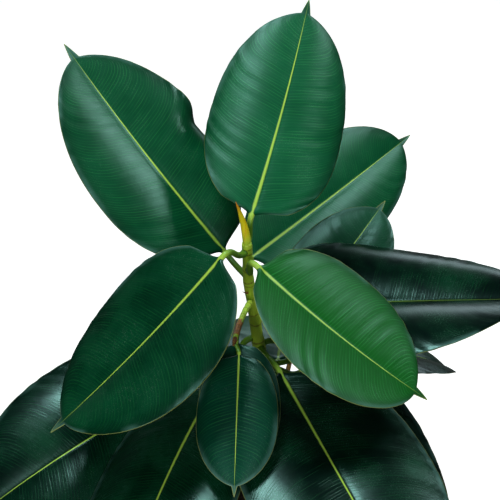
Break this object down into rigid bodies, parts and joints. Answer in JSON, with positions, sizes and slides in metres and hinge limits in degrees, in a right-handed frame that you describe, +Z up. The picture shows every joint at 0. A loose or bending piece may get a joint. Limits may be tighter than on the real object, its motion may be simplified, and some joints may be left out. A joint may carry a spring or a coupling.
{
  "type": "potted rubber plant",
  "caption": "Young rubber plant with large glossy leaves on one leaning stem, growing in a plain round clay pot of soil with a thin support cane.",
  "frame": {"origin": "middle of the pot's flat underside", "axes": "+Z up along the pot's axis, -Y towards the side that the young side shoot points to, +X to the right seen from there"},
  "size_m": [0.5696, 0.6158, 0.6671],
  "materials": {
    "leaf": "glossy, waxy, dark green with close fine side veins and a yellow-green midrib",
    "young_leaf": "glossy, waxy, dark green with a yellow-green midrib",
    "stem": "satin yellow-green bark with brown node rings, grey-brown lower down",
    "sheath": "satin, yellow-orange tip fading to green",
    "dry_husk": "matte, dry and papery",
    "cane": "satin bamboo with darker joints",
    "clay": "matte unglazed fired clay",
    "soil": "matte loose potting mix with bark and perlite"
  },
  "bodies": {
    "root": {"pot": "clay", "soil": "soil", "cane": "cane", "main_stem": "stem", "bud_sheath": "sheath", "side_shoot": "stem", "side_bud": "dry_husk", "dried_stipule": "dry_husk", "leaf_01": "leaf", "leaf_02": "leaf", "leaf_03": "leaf", "leaf_04": "leaf", "leaf_05": "leaf", "leaf_06": "leaf", "leaf_07": "leaf", "leaf_08": "leaf", "leaf_09": "leaf", "leaf_10": "leaf", "leaf_11": "leaf", "leaf_12": "leaf", "leaf_13": "leaf", "leaf_14": "leaf", "young_leaf_1": "young_leaf", "young_leaf_2": "young_leaf"}
  },
  "joints": []
}
